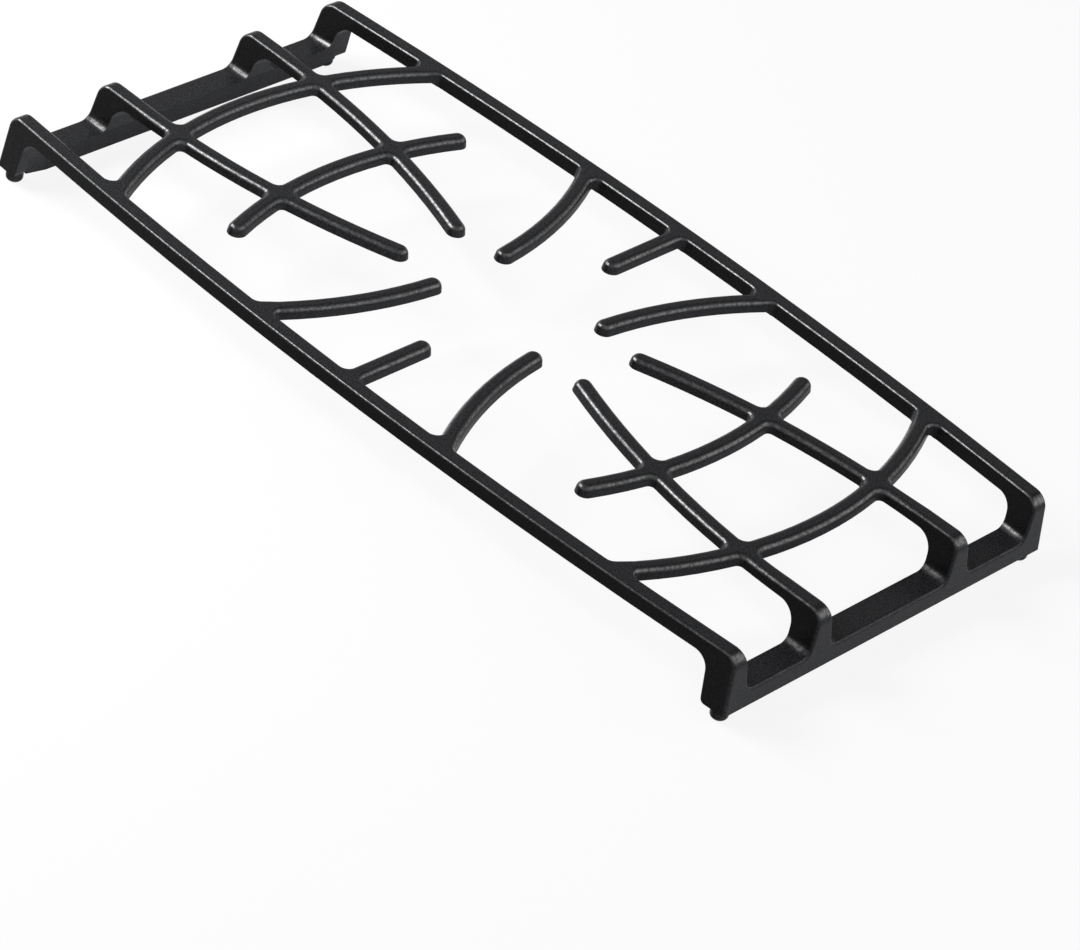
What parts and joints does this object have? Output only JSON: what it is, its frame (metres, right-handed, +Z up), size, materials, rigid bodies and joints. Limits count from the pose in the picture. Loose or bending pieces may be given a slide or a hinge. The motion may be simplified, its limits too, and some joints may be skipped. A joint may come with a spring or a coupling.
{
  "type": "hob pan support",
  "caption": "Long narrow cast-iron pan support for a gas hob: bowed side bars, curved cross bars and fingers around a burner gap, legs tied by end rails on round feet.",
  "frame": {"origin": "on the hob surface, under the middle of the grate", "axes": "X along the grate, Y across it, Z up; pans stand on the top plane"},
  "size_m": [0.44, 0.2158, 0.0337],
  "materials": {
    "enamelled_iron": "satin black enamel with a fine cast grain"
  },
  "bodies": {
    "root": {"pan_support": "enamelled_iron"}
  },
  "joints": []
}
